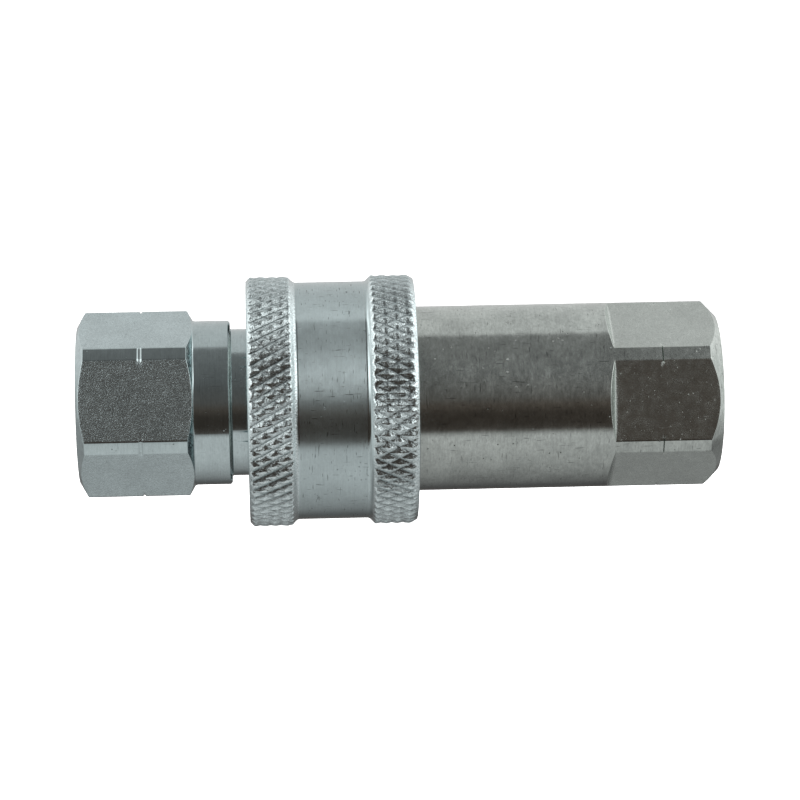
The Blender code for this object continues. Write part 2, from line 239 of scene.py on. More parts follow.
SLEEVE_MOUTH = 13.3
SLEEVE_RIB = 12.1
SLEEVE_RIB_ENDS = (24.7, 25.4)
SLEEVE_CONE = ((25.6, 13.19), (31.75, 11.89))
SLEEVE_RELIEF = 13.2
SLEEVE_BORE = 11.75
SLEEVE_BORE_ENDS = (32.3, 34.6)
SLEEVE_CHAMBER = 14.0
KNURL_ZONE, WAIST_ZONE, TURNED_ZONE = range(3)

# Small rings, and springs as (radius, wire radius, turns).
RING_ROUNDING = 0.08
SLEEVE_RING_INNER = 11.1
WASHER_INNER = 11.75
WASHER_ROUNDING = 0.12
BACKUP_RING_INNER = 9.65
BACKUP_RING_ROUNDING = 0.06
SLEEVE_SPRING = (12.8, 0.4, 4)
VALVE_SPRING = (4.4, 0.5, 5)
COIL_STEPS = 28
WIRE_SIDES = 12
CLOSE_TURN = 2.3
WIRE_GROUND = 0.3
HOLE_SIDES = 40
ROUND_SIDES = 96

# Light metal tones: the nipple and sleeve are bluer than the coupler body.
BLUE_ZINC = (0.535, 0.625, 0.632)
PALE_ZINC = (0.580, 0.625, 0.594)
# BLUE_FLATS is the nipple's zinc tinted brighter on its hexagon's flats: a painted highlight.
BLUE_FLATS = (0.600, 0.700, 0.710)
# BRIGHT_KNURL is the sleeve's zinc tinted brighter on its knurl: a painted highlight.
BRIGHT_KNURL = (0.640, 0.728, 0.735)


# ---------------- shapes


def soften(outline, steps=4):
    """Round the corners of an open line of (station, radius, rounding) points."""
    points = [np.array(corner[:2], float) for corner in outline]
    rounding = [corner[2] if len(corner) > 2 else 0.0 for corner in outline]
    shares = np.linspace(0.0, 1.0, steps + 1)
    made = [points[0]]
    for index in range(1, len(points) - 1):
        here = points[index]
        if not rounding[index]:
            made.append(here)
            continue
        before = points[index - 1] - here
        after = points[index + 1] - here
        length_before = np.linalg.norm(before)
        length_after = np.linalg.norm(after)
        before = before / length_before
        after = after / length_after
        half = math.acos(np.clip(before @ after, -1.0, 1.0)) / 2
        setback = rounding[index] / max(math.tan(half), 1e-3)
        setback = min(setback, LONGEST_SETBACK * length_before, LONGEST_SETBACK * length_after)
        if half > NEARLY_STRAIGHT:
            sides = [before if share < 0.5 else after for share in shares]
            made += [here + side * setback * abs(1 - 2 * share) for side, share in zip(sides, shares)]
            continue
        radius = setback * math.tan(half)
        centre = here + (before + after) / np.linalg.norm(before + after) * radius / math.sin(half)
        first = here + before * setback - centre
        last = here + after * setback - centre
        sweep = math.pi - 2 * half
        for share in shares:
            weight_first = math.sin((1 - share) * sweep) / math.sin(sweep)
            weight_last = math.sin(share * sweep) / math.sin(sweep)
            made.append(centre + first * weight_first + last * weight_last)
    made.append(points[-1])
    return [tuple(point) for point in made]


def closed(outline, steps=4):
    """Round every corner of a closed outline."""
    wrapped = [outline[-1], *outline, outline[0]]
    return soften(wrapped, steps)[1:-1]


def around(station, radius, angle):
    """World coordinates of places given by station, radius and angle."""
    turn = np.radians(angle)
    x = axis_start + np.asarray(station) * MM
    y = -np.asarray(radius) * MM * np.cos(turn)
    z = np.asarray(radius) * MM * np.sin(turn)
    return np.stack(np.broadcast_arrays(x, y, z), axis=-1)


def new_piece(name, points, faces, materials, zones=None):
    """A mesh object; zones gives each face's place in the list of materials."""
    mesh = bpy.data.meshes.new(name)
    mesh.from_pydata(points.tolist(), [], faces)
    for material in materials:
        mesh.materials.append(material)
    if zones is not None:
        mesh.polygons.foreach_set("material_index", np.asarray(zones, np.int32))
    mesh.shade_smooth()
    mesh.update()
    piece = bpy.data.objects.new(name, mesh)
    bpy.context.scene.collection.objects.link(piece)
    return piece


def even_normals(piece):
    """Keep broad faces looking flat next to their rounded edges."""
    piece.modifiers.new("even_normals", "WEIGHTED_NORMAL").keep_sharp = True


def turned(name, angles, section, materials, zone_of=None, split_of=None, solid=False):
    """A turned piece. section(angle) lists (station, radius) points, outside from low to
    high station and then back inside. zone_of(turn, row) gives a face's material, and
    split_of(turn, row) the diagonal on which it is cut in two. A solid piece has no bore."""
    grid = np.array([section(angle) for angle in angles])
    count, size = grid.shape[:2]
    points = around(grid[..., 0], grid[..., 1], np.asarray(angles)[:, None]).reshape(-1, 3)
    last = size - 1 if solid else size
    faces = []
    zones = []
    for turn in range(count):
        here, there = turn * size, (turn + 1) % count * size
        for row in range(last):
            up = (row + 1) % size
            one, two, three, four = here + row, here + up, there + up, there + row
            way = split_of(turn, row) if split_of else None
            if way is None:
                made = [(one, two, three, four)]
            elif way:
                made = [(one, two, four), (two, three, four)]
            else:
                made = [(one, two, three), (one, three, four)]
            faces += made
            zones += [zone_of(turn, row) if zone_of else 0] * len(made)
    if solid:
        faces.append([turn * size for turn in range(count)])
        faces.append([turn * size + last for turn in reversed(range(count))])
        zones += [0, 0]
    return new_piece(name, points, faces, materials, zones)


def even_angles(count):
    return [index * 360 / count for index in range(count)]


def ring(name, outline, material):
    """A plain turned ring with rounded corners."""
    points = closed(outline)
    piece = turned(name, even_angles(ROUND_SIDES), lambda angle: points, [material])
    even_normals(piece)
    return piece


def box_section(inner, outer, low, high, rounding):
    return [
        (low, inner, rounding),
        (low, outer, rounding),
        (high, outer, rounding),
        (high, inner, rounding),
    ]


def swept_faces(count, size):
    """Faces of a closed section of points repeated along an open path, capped at both ends."""
    faces = []
    for row in range(count - 1):
        here, there = row * size, (row + 1) * size
        for col in range(size):
            up = (col + 1) % size
            faces.append((here + col, here + up, there + up, there + col))
    faces.append(list(range(size))[::-1])
    faces.append([(count - 1) * size + col for col in range(size)])
    return faces


def split_ring(name, inner, outer, low, high, material, count=90):
    """A retaining ring, open by a gap at the back."""
    outline = closed(box_section(inner, outer, low, high, RING_ROUNDING), 3)
    half = math.degrees(math.asin(RING_GAP / 2 / ((inner + outer) / 2)))
    angles = np.linspace(180 + half, 540 - half, count)
    grid = np.array([outline] * count)
    points = around(grid[..., 0], grid[..., 1], angles[:, None]).reshape(-1, 3)
    piece = new_piece(name, points, swept_faces(count, len(outline)), [material])
    piece.data.set_sharp_from_angle(angle=SHARP_EDGE)
    even_normals(piece)
    return piece


def torus(name, centre, section, station, material, count=120, sides=20):
    """A ring of round section, its middle at a radius and a station."""
    turns = [math.tau * side / sides for side in range(sides)]
    outline = [(station - section * math.cos(turn), centre + section * math.sin(turn)) for turn in turns]
    return turned(name, even_angles(count), lambda angle: outline, [material])


def coil(name, size, low, high, material):
    """A compression spring with a close turn and a ground face at each end."""
    radius, wire, turns = size
    ground = wire * WIRE_GROUND
    steps = turns * COIL_STEPS
    turn = np.arange(steps + 1) / COIL_STEPS
    first = low + wire - ground
    close = wire * CLOSE_TURN
    pitch = (high - low - 2 * (wire - ground) - 2 * close) / (turns - 2)
    along = first + close * np.minimum(turn, 1) + close * np.maximum(turn - turns + 1, 0)
    along = along + pitch * np.clip(turn - 1, 0, turns - 2)
    side = np.arange(WIRE_SIDES) * math.tau / WIRE_SIDES
    station = np.clip(along[:, None] + wire * np.sin(side), low, high)
    across = radius + wire * np.cos(side)
    points = around(station, across, -360 * turn[:, None]).reshape(-1, 3)
    piece = new_piece(name, points, swept_faces(steps + 1, WIRE_SIDES), [material])
    fix = bmesh.new()
    fix.from_mesh(piece.data)
    bmesh.ops.recalc_face_normals(fix, faces=fix.faces)
    fix.to_mesh(piece.data)
    fix.free()
    piece.data.set_sharp_from_angle(angle=SHARP_EDGE)
    return piece


def holes_round(count, radius, length, centre, lay):
    """Cylinders for cut(), evenly round the axis, the first at a centre and laid by a turn."""
    holes = []
    for index in range(count):
        turn = Matrix.Rotation(index * math.tau / count, 4, "X")
        holes.append((radius, length, turn @ Matrix.Translation(centre) @ lay))
    return holes


def cut(piece, name, shapes):
    """Cut closed cylinders, given as (radius, length, matrix), out of a piece."""
    made = bmesh.new()
    for radius, length, matrix in shapes:
        bmesh.ops.create_cone(
            made,
            cap_ends=True,
            segments=HOLE_SIDES,
            radius1=radius * MM,
            radius2=radius * MM,
            depth=length * MM,
            matrix=matrix,
        )
    mesh = bpy.data.meshes.new(name)
    made.to_mesh(mesh)
    made.free()
    cutter = bpy.data.objects.new(name, mesh)
    bpy.context.scene.collection.objects.link(cutter)
    modifier = piece.modifiers.new(name, "BOOLEAN")
    modifier.object = cutter
    modifier.operation = "DIFFERENCE"
    graph = bpy.context.evaluated_depsgraph_get()
    baked = bpy.data.meshes.new_from_object(piece.evaluated_get(graph))
    piece.modifiers.remove(modifier)
    piece.data = baked
    bpy.data.objects.remove(cutter)
    baked.set_sharp_from_angle(angle=SHARP_EDGE)


# ---------------- hexagons and threads


def hex_angles(clocking):
    """Angles round a hexagon with its front flat at the clocking, close at the edges."""
    half = list(np.arange(0.0, FLAT_EDGE - FLAT_STEPS_STOP, FLAT_STEP))
    half += [FLAT_EDGE + offset for offset in FLAT_EDGE_OFFSETS]
    sector = half + [30.0] + [60.0 - angle for angle in reversed(half[1:])]
    return [clocking + side * 60 + angle for side in range(6) for angle in sector]


def from_flat(angle, clocking):
    """Degrees between an angle and the middle of the nearest flat."""
    return abs((angle - clocking + 30) % 60 - 30)


def hex_radius(angle, clocking):
    """Radius of the hexagon with its turned corners."""
    flat = HEX_FLAT / math.cos(math.radians(from_flat(angle, clocking)))
    mix = max(FLAT_EDGE_SOFTNESS - abs(flat - HEX_CORNER), 0.0) / FLAT_EDGE_SOFTNESS
    return min(flat, HEX_CORNER) - mix * mix * FLAT_EDGE_SOFTNESS / 4


def hex_side(low, mark, mark_size, high, radius):
    """The side of a hexagon, with a small V groove that only reaches the turned corners."""
    half, depth = mark_size
    bottom = min(radius, HEX_CORNER - depth)
    groove_line = [(mark - half, radius), (mark, bottom), (mark + half, radius)]
    before = [(low + HEX_EDGE, radius), (mark - HEX_EDGE, radius)]
    after = [(mark + HEX_EDGE, radius), (high - HEX_EDGE, radius)]
    return [*before, *groove_line, *after]


def thread_radius(depth, angle):
    """Radius of the threaded socket at a depth from its mouth."""
    countersink = PORT_MOUTH - (PORT_MOUTH - PORT_START) * depth / PORT_CHAMFER
    crest = np.interp(depth, [PORT_CHAMFER, PORT_DEPTH], [PORT_START, PORT_END])
    phase = (depth / THREAD_PITCH + angle / 360) % 1.0
    ramp = abs(2 * phase - 1)
    ridge = np.clip((ramp - THREAD_FLAT) / (1 - 2 * THREAD_FLAT), 0.0, 1.0)
    fade = np.clip((PORT_DEPTH - depth) / THREAD_RUNOUT, 0.0, 1.0)
    return max(countersink, crest + THREAD_DEPTH * ridge * fade)


def thread_rows(face, inwards, angle):
    """Points down the threaded socket, always listed from high to low station."""
    depths = np.linspace(*THREAD_ENDS, round(THREAD_ENDS[1] / THREAD_PITCH * THREAD_ROWS))
    rows = [(face + inwards * depth, thread_radius(depth, inwards * angle)) for depth in depths]
    return rows[::-1] if inwards > 0 else rows


def nipple_section(angle):
    """The nipple's outline at an angle: outside, seat, valve chamber and threaded port."""
    radius = hex_radius(angle, NIPPLE_CLOCKING)
    front = NIPPLE_CHAMFER * (radius - END_FACE) / (HEX_CORNER - END_FACE)
    slope = (NIPPLE_HEX_END - NIPPLE_HEX_TURN) / (HEX_CORNER - COLLAR)
    back = NIPPLE_HEX_END - slope * (radius - COLLAR)
    flank = NOSE - BALL_GROOVE + BALL_GROOVE_HALF
    back_flank = NECK - BALL_GROOVE + BALL_GROOVE_HALF
    ring_low = NIPPLE_SEAT - RING_GROOVE_BACK[1]
    ring_high = NIPPLE_SEAT - RING_GROOVE_BACK[0]
    outline = [
        (PORT_CHAMFER, PORT_START),
        (0.0, PORT_MOUTH, 0.08),
        (0.0, END_FACE, 0.15),
        (front, radius, 0.12),
        *hex_side(front, NIPPLE_MARK, NIPPLE_MARK_SIZE, back, radius),
        (back, radius, 0.10),
        (NIPPLE_HEX_END, COLLAR, 0.4),
        (COLLAR_END - COLLAR_BREAK, COLLAR, 0.08),
        (COLLAR_END, COLLAR - COLLAR_BREAK, 0.06),
        (COLLAR_END, NECK, 0.25),
        (BALL_STATION - back_flank, NECK, 0.15),
        (BALL_STATION - BALL_GROOVE_HALF, BALL_GROOVE, 0.2),
        (BALL_STATION + BALL_GROOVE_HALF, BALL_GROOVE, 0.2),
        (BALL_STATION + flank, NOSE, 0.15),
        (NIPPLE_TIP - NOSE_CHAMFER[0], NOSE, 0.25),
        (NIPPLE_TIP, NOSE - NOSE_CHAMFER[1], 0.12),
        (NIPPLE_TIP, SEAT, 0.15),
        (NIPPLE_SEAT, SEAT, 0.05),
        (NIPPLE_SEAT - SEAT_DEPTH, CHAMBER, 0.1),
        (ring_high, CHAMBER, 0.04),
        (ring_high, RING_GROOVE, 0.04),
        (ring_low, RING_GROOVE, 0.04),
        (ring_low, CHAMBER, 0.04),
        (PORT_DEPTH + PORT_STEP, CHAMBER),
    ]
    return soften(outline)[1:] + thread_rows(0.0, 1, angle)


def coupler_section(angle):
    """The coupler's outline at an angle: chamber, seat, socket, outside and threaded port."""
    radius = hex_radius(angle, COUPLER_CLOCKING)
    away = math.cos(math.radians(from_flat(angle, COUPLER_CLOCKING)))
    rise = max(HEX_CORNER * away - HEX_FLAT, LEAST_RAMP)
    ramp = COUPLER_FLATS - rise / math.tan(math.radians(COUPLER_RAMP))
    slope = (LENGTH - COUPLER_CHAMFER) / (HEX_CORNER - END_FACE)
    back = LENGTH - slope * (radius - END_FACE)
    groove_low, groove_high = FRONT_GROOVE_ENDS
    gland_low, gland_high = GLAND_ENDS
    ring_low = COUPLER_SEAT + RING_GROOVE_BACK[0]
    ring_high = COUPLER_SEAT + RING_GROOVE_BACK[1]
    flats = COUPLER_FLATS + COUPLER_FLATS_FOOT
    outline = [
        (LENGTH - PORT_DEPTH - PORT_STEP, CHAMBER),
        (ring_high, CHAMBER, 0.04),
        (ring_high, RING_GROOVE, 0.04),
        (ring_low, RING_GROOVE, 0.04),
        (ring_low, CHAMBER, 0.04),
        (COUPLER_SEAT + SEAT_DEPTH, CHAMBER, 0.1),
        (COUPLER_SEAT, SEAT, 0.05),
        (SOCKET_END, SEAT, 0.15),
        (SOCKET_END, SOCKET, 0.3),
        (gland_high, SOCKET, 0.08),
        (gland_high, GLAND, 0.1),
        (gland_low, GLAND, 0.1),
        (gland_low, SOCKET, 0.08),
        (TUBE_START + SOCKET_CHAMFER, SOCKET, 0.1),
        (TUBE_START, SOCKET + SOCKET_CHAMFER, 0.08),
        (TUBE_START, TUBE - TUBE_CHAMFER, 0.08),
        (TUBE_START + TUBE_CHAMFER, TUBE, 0.08),
        (groove_low, TUBE, 0.04),
        (groove_low, FRONT_GROOVE, 0.04),
        (groove_high, FRONT_GROOVE, 0.04),
        (groove_high, TUBE, 0.04),
        (TUBE_END, TUBE, 0.1),
        (TUBE_END, HEX_CORNER, 0.15),
        (ramp, HEX_CORNER, 0.12),
        (COUPLER_FLATS, radius, 0.5),
        *hex_side(flats, COUPLER_MARK, COUPLER_MARK_SIZE, back, radius),
        (back, radius, 0.12),
        (LENGTH, END_FACE, 0.15),
        (LENGTH, PORT_MOUTH, 0.08),
        (LENGTH - PORT_CHAMFER, PORT_START),
    ]
    return soften(outline)[:-1] + thread_rows(LENGTH, -1, angle)


# ---------------- knurled sleeve

Band = namedtuple("Band", "low high depths form rows pitch")

# Fixed random spreads: one for each tooth, and one for each point of the knurl.
tooth_spread = np.random.default_rng(5).random((KNURL_TEETH, KNURL_TEETH)) * KNURL_SPREAD
crumble_size = (KNURL_TEETH * KNURL_STEPS, KNURL_CRUMBLE_ROWS)
crumble = np.random.default_rng(7).random(crumble_size) * KNURL_CRUMBLE


def sawtooth(place):
    """0 in the valley between two knurl lines and 1 on the crest, for places in pitches."""
    return 1 - abs(2 * (place % 1.0) - 1)


def groove(height, depth, form):
    """Depth of one knurl groove, with a sharp floor and a rounded shoulder."""
    top, rounding = form
    return depth * max(1 - height / top, 0.0) ** rounding


def knurled_band(low, high, depths, form):
    """A band with a whole number of rows, its pitch made to fit them."""
    rows = round((high - low) / KNURL_PITCH * KNURL_STEPS)
    return Band(low, high, depths, form, rows, (high - low) / rows * KNURL_STEPS)


def knurl_cut(station, angle, band):
    """How deep the two crossing knurl lines cut; no two teeth are quite alike."""
    along = (station - band.low) / band.pitch
    turns = angle * KNURL_TEETH / 360
    one, other = turns + along, turns - along
    heights = sawtooth(one), sawtooth(other)
    short = tooth_spread[math.floor(one) % KNURL_TEETH, math.floor(other) % KNURL_TEETH]
    cuts = [groove(height, depth, band.form) for height, depth in zip(heights, band.depths)]
    return max(cuts) + short * min(heights)


def make_sleeve(materials):
    """The locking sleeve, its two bands knurled in real relief."""
    front = SLEEVE_FRONT + FRONT_CHAMFER
    back = SLEEVE_BACK - BACK_CHAMFER
    step = BAND - WAIST
    shoulder = [
        (FRONT_BAND_END, BAND),
        (FRONT_BAND_END + step, WAIST, WAIST_FILLET),
        (BACK_BAND_START - step, WAIST, WAIST_FILLET),
        (BACK_BAND_START, BAND),
    ]
    waist = soften(shoulder, WAIST_FILLET_STEPS)[1:-1]
    waist_start = waist[WAIST_FILLET_STEPS][0]
    waist_end = waist[WAIST_FILLET_STEPS + 1][0]
    base = [(SLEEVE_FRONT, BAND - FRONT_CHAMFER), (front, BAND), (FRONT_BAND_END, BAND), *waist]
    base += [(BACK_BAND_START, BAND), (back, BAND), (SLEEVE_BACK, BACK_FACE)]
    base_stations, base_radii = np.array(base).T
    front_band = knurled_band(front, FRONT_BAND_END, FRONT_KNURL, FRONT_KNURL_FORM)
    back_band = knurled_band(BACK_BAND_START, back, BACK_KNURL, BACK_KNURL_FORM)
    bands = (front_band, back_band)
    stations = [
        *np.linspace(SLEEVE_FRONT + KNURL_EDGE, front, FRONT_CHAMFER_STEPS + 1)[:-1],
        *np.linspace(front_band.low, front_band.high, front_band.rows + 1),
        *np.linspace(FRONT_BAND_END, waist[0][0], SHOULDER_STEPS + 1)[1:-1],
        *[station for station, _ in waist],
        *np.linspace(waist[-1][0], BACK_BAND_START, SHOULDER_STEPS + 1)[1:-1],
        *np.linspace(back_band.low, back_band.high, back_band.rows + 1),
        *np.linspace(back, SLEEVE_BACK - KNURL_EDGE, BACK_CHAMFER_STEPS + 1)[1:],
    ]
    rib_low, rib_high = SLEEVE_RIB_ENDS
    bore_low, bore_high = SLEEVE_BORE_ENDS
    cone_low, cone_high = SLEEVE_CONE
    inside = soften(
        [
            (back, BAND),
            (SLEEVE_BACK, BACK_FACE, 0.1),
            (SLEEVE_BACK, SLEEVE_CHAMBER, 0.15),
            (bore_high, SLEEVE_CHAMBER, 0.3),
            (bore_high, SLEEVE_BORE, 0.1),
            (bore_low, SLEEVE_BORE, 0.05),
            (bore_low, cone_high[1], 0.05),
            cone_high,
            cone_low,
            (rib_high, SLEEVE_RELIEF),
            (rib_high, SLEEVE_RIB, 0.08),
            (rib_low, SLEEVE_RIB, 0.08),
            (rib_low, SLEEVE_MOUTH, 0.1),
            (SLEEVE_FRONT, SLEEVE_MOUTH, 0.15),
            (SLEEVE_FRONT, BAND - FRONT_CHAMFER, 0.1),
            (front, BAND),
        ]
    )[1:-1]

    def band_at(station):
        """The band whose grooves reach a station; they run out over the chamfers beside it."""
        for band in bands:
            if band.low - FRONT_CHAMFER <= station <= band.high + BACK_CHAMFER:
                return band
        return None

    def section(angle):
        points = []
        turn = round(angle * KNURL_TEETH * KNURL_STEPS / 360)
        for row, station in enumerate(stations):
            radius = float(np.interp(station, base_stations, base_radii))
            band = band_at(station)
            if band:
                radius = min(radius, BAND - (knurl_cut(station, angle, band) + crumble[turn, row]))
            points.append((station, radius))
        return points + inside

    first_rows = [stations.index(band.low) for band in bands]

    def split_of(turn, row):
        """Cut each face of the knurl along the line that it lies on."""
        for band, first_row in zip(bands, first_rows):
            if first_row <= row < first_row + band.rows:
                along = (row - first_row + 0.5) / KNURL_STEPS
                across = (turn + 0.5) / KNURL_STEPS
                return sawtooth(across + along) < sawtooth(across - along)
        return None

    def zone_of(turn, row):
        """The knurl's material, the waist's, or that of the shoulders and the inside."""
        if row >= len(stations):
            return TURNED_ZONE
        if band_at(stations[row]):
            return KNURL_ZONE
        return WAIST_ZONE if waist_start <= stations[row] < waist_end else TURNED_ZONE

    angles = even_angles(KNURL_TEETH * KNURL_STEPS)
    piece = turned("sleeve_detail", angles, section, materials, zone_of, split_of)
    piece.data.set_sharp_from_angle(angle=KNURL_SHARP_EDGE)
    # The knurl's height, 1 on the crests and 0 at the groove floors, kept for the material's painted
    # groove shade and crest highlight.
    places = np.array([point.co for point in piece.data.vertices])
    uncut = np.interp(station_of(places[:, 0]), base_stations, base_radii)
    depth = uncut - np.hypot(places[:, 1], places[:, 2]) / MM
    height = 1 - np.clip(depth / max(FRONT_KNURL + BACK_KNURL), 0.0, 1.0)
    crest = piece.data.attributes.new("crest", "FLOAT", "POINT")
    crest.data.foreach_set("value", height.astype(np.float32))
    even_normals(piece)
    stand_for(piece, "sleeve")


# ---------------- material nodes


def add(tree, kind, values=None, **settings):
    """A node with its settings made, and each input linked or given a value."""
    made = tree.nodes.new(kind)
    for key, value in settings.items():
        setattr(made, key, value)
    for key, value in (values or {}).items():
        if isinstance(value, bpy.types.NodeSocket):
            tree.links.new(value, made.inputs[key])
        else:
            made.inputs[key].default_value = value
    return made


def calc(tree, operation, *values):
    """A Math node's result for its one, two or three values."""
    return add(tree, "ShaderNodeMath", dict(enumerate(values)), operation=operation).outputs[0]


def remap(tree, value, low, high, to_low=0.0, to_high=1.0):
    """A value moved from one range to another, and kept inside it."""
    values = {"Value": value, "From Min": low, "From Max": high, "To Min": to_low, "To Max": to_high}
    return add(tree, "ShaderNodeMapRange", values).outputs["Result"]


def stretch(tree, vector, scale):
    return add(tree, "ShaderNodeVectorMath", {0: vector, 1: scale}, operation="MULTIPLY").outputs[0]


def noise(tree, vector, scale, detail=2.0, roughness=0.5):
    values = {"Vector": vector, "Scale": scale, "Detail": detail, "Roughness": roughness}
    return add(tree, "ShaderNodeTexNoise", values).outputs["Fac"]


def streaks(tree, place, along, across, detail=2.0, roughness=0.5):
    """Noise of one fineness along the axis and another across it."""
    return noise(tree, stretch(tree, place, (along, across, across)), 1.0, detail, roughness)


def cells(tree, vector, scale, output="Distance"):
    return add(tree, "ShaderNodeTexVoronoi", {"Vector": vector, "Scale": scale}).outputs[output]


def mix_colours(tree, first, second, factor=1.0, **settings):
    """Two colours mixed; each is a socket or three numbers."""
    first, second = (
        colour if isinstance(colour, bpy.types.NodeSocket) else (*colour, 1.0)
        for colour in (first, second)
    )
    values = {"Factor": factor, 6: first, 7: second}
    return add(tree, "ShaderNodeMix", values, data_type="RGBA", **settings).outputs[2]


def shade(tree, colour, amount):
    """A colour times a grey amount."""
    grey = add(tree, "ShaderNodeCombineColor", {"Red": amount, "Green": amount, "Blue": amount})
    return mix_colours(tree, colour, grey.outputs[0], blend_type="MULTIPLY")


def new_material(name):
    """A material with its tree, its shader and its object coordinates in millimetres."""
    material = bpy.data.materials.new(name)
    material.use_nodes = True
    tree = material.node_tree
    shader = tree.nodes["Principled BSDF"]
    place = add(tree, "ShaderNodeTexCoord").outputs["Object"]
    return material, tree, shader, stretch(tree, place, (1 / MM,) * 3)


def bump(tree, height, distance, below=None):
    """A bump whose height runs from 0 to 1 over a distance in millimetres."""
    values = {"Height": height, "Distance": distance * MM, "Strength": 1.0}
    if below is not None:
        values["Normal"] = below
    return add(tree, "ShaderNodeBump", values).outputs["Normal"]


def set_shader(tree, shader, tint, tone, dull, normal=None, metallic=1.0):
    """Give a shader its colour, roughness and bump."""
    tree.links.new(shade(tree, tint, tone), shader.inputs["Base Color"])
    tree.links.new(dull, shader.inputs["Roughness"])
    shader.inputs["Metallic"].default_value = metallic
    if normal is not None:
        tree.links.new(normal, shader.inputs["Normal"])


def plated(
    name,
    tint,
    roughness,
    marks=0.004,
    grain=0.0,
    specks=0.0,
    stains=0.12,
    pits=0.6,
    scratches=0.5,
    knurl_shading=False,
    shaded_underside=False,
    brushed=0.0,
    uneven=0.2,
    glint=0.3,
):
    """Zinc plate: lathe marks, crystal grain, bright specks, stains, pits and scratches.
    knurl_shading paints shade into the knurl's grooves and a highlight onto its crests, as well
    as their dirt and wear. shaded_underside paints shade on the underside: the colour darkens
    towards the bottom. brushed spreads reflections along the axis, as turning marks do. uneven
    varies the roughness, and glint how strong the painted glints are: the single grains' colour
    made brighter and darker at random."""
    material, tree, shader, place = new_material(name)
    lathe = streaks(tree, place, 9.0, 0.22, 4.0, 0.65)
    cloud = noise(tree, place, 0.22, 4.0, 0.6)
    patch = noise(tree, place, 0.9, 3.0, 0.6)
    fleck = streaks(tree, place, 3.4, 1.5, 3.0, 0.65)
    sparkle = noise(tree, place, 6.5, 2.0, 0.6)
    dots = remap(tree, cells(tree, place, 1.1), 0.07, 0.15, 1.0, 0.0)
    pit = calc(tree, "MULTIPLY", dots, remap(tree, noise(tree, place, 0.35, 1.0), 0.48, 0.62))
    lines = remap(tree, streaks(tree, place, 0.42, 5.0), 0.68, 0.72)
    rings = remap(tree, streaks(tree, place, 6.0, 0.6), 0.67, 0.71)
    scratch = calc(tree, "MAXIMUM", lines, rings)

    value = calc(tree, "MULTIPLY_ADD", remap(tree, cloud, 0.32, 0.68), -stains, 1.0 + stains * 0.45)
    broad = remap(tree, patch, 0.30, 0.70, 1.0 - 0.35 * stains, 1.0 + 0.25 * stains)
    small = remap(tree, fleck, 0.3, 0.7, 1 - 0.5 * stains, 1 + 0.5 * stains)
    value = calc(tree, "MULTIPLY", value, calc(tree, "MULTIPLY", broad, small))
    value = calc(tree, "MULTIPLY_ADD", pit, -0.45 * pits, value)
    value = calc(tree, "MULTIPLY_ADD", scratch, -0.35 * scratches, value)
    dull = remap(tree, patch, 0.35, 0.70, roughness * (1 - uneven), roughness * (1 + 1.5 * uneven))
    dull = calc(tree, "MULTIPLY_ADD", pit, 0.25, dull)
    normal = None
    if specks:
        chance = add(tree, "ShaderNodeSeparateColor", {"Color": cells(tree, place, 5.0, "Color")})
        lit = remap(tree, chance.outputs["Red"], 1.0 - specks, 1.03 - specks)
        lit = calc(tree, "MULTIPLY", lit, remap(tree, cells(tree, place, 5.0), 0.3, 0.5, 1.0, 0.0))
        value = calc(tree, "MULTIPLY_ADD", lit, 0.12, value)
        dull = calc(tree, "MULTIPLY_ADD", lit, 0.45, dull)
    if marks:
        value = calc(tree, "MULTIPLY", value, remap(tree, lathe, 0.3, 0.7, 0.94, 1.06))
        fine = streaks(tree, place, 26.0, 0.5, 2.0, 0.6)
        normal = bump(tree, fine, marks * 0.25, bump(tree, lathe, marks))
    if grain:
        # Painted glints: the grains' colour is made brighter and darker at random, standing in for
        # glitter from their facets.
        shine = remap(tree, sparkle, 0.36, 0.66, 1 - 0.8 * glint, 1 + glint)
        value = calc(tree, "MULTIPLY", value, shine)
        normal = bump(tree, sparkle, grain, normal)
    if knurl_shading:
        crest_height = add(tree, "ShaderNodeAttribute", attribute_name="crest").outputs["Fac"]
        # Painted shade in the knurl's grooves and painted highlight on its crests, together with their
        # dirt and wear: the colour runs from 0.6 in the grooves to 1.12 on the crests.
        value = calc(tree, "MULTIPLY", value, remap(tree, crest_height, 0.0, 0.9, 0.6, 1.12))
    if shaded_underside:
        # Painted shade: the colour darkens towards the bottom of the piece, down to 0.61 of itself, with
        # a blotchy edge from the patch noise.
        parts = add(tree, "ShaderNodeSeparateXYZ", {"Vector": place})
        height = calc(tree, "MULTIPLY_ADD", patch, 2.0, parts.outputs["Z"])
        value = calc(tree, "MULTIPLY", value, remap(tree, height, -9.5, -1.5, 0.61, 1.0))
    if brushed:
        shader.inputs["Anisotropic"].default_value = brushed
        shader.inputs["Anisotropic Rotation"].default_value = 0.25
        tangent = add(tree, "ShaderNodeTangent", direction_type="RADIAL", axis="X")
        tree.links.new(tangent.outputs["Tangent"], shader.inputs["Tangent"])
    normal = bump(tree, calc(tree, "SUBTRACT", 1.0, pit), 0.02 * pits, normal)
    set_shader(tree, shader, tint, value, dull, normal)
    return material


def steel(name, tint, roughness, marks=0.002):
    """Bare turned steel with fine marks round the axis."""
    material, tree, shader, place = new_material(name)
    lathe = streaks(tree, place, 12.0, 0.4, 3.0, 0.6)
    tone = remap(tree, noise(tree, place, 0.8, 3.0, 0.6), 0.3, 0.7, 0.88, 1.05)
    dull = remap(tree, lathe, 0.3, 0.7, roughness * 0.8, roughness * 1.3)
    set_shader(tree, shader, tint, tone, dull, bump(tree, lathe, marks))
    return material


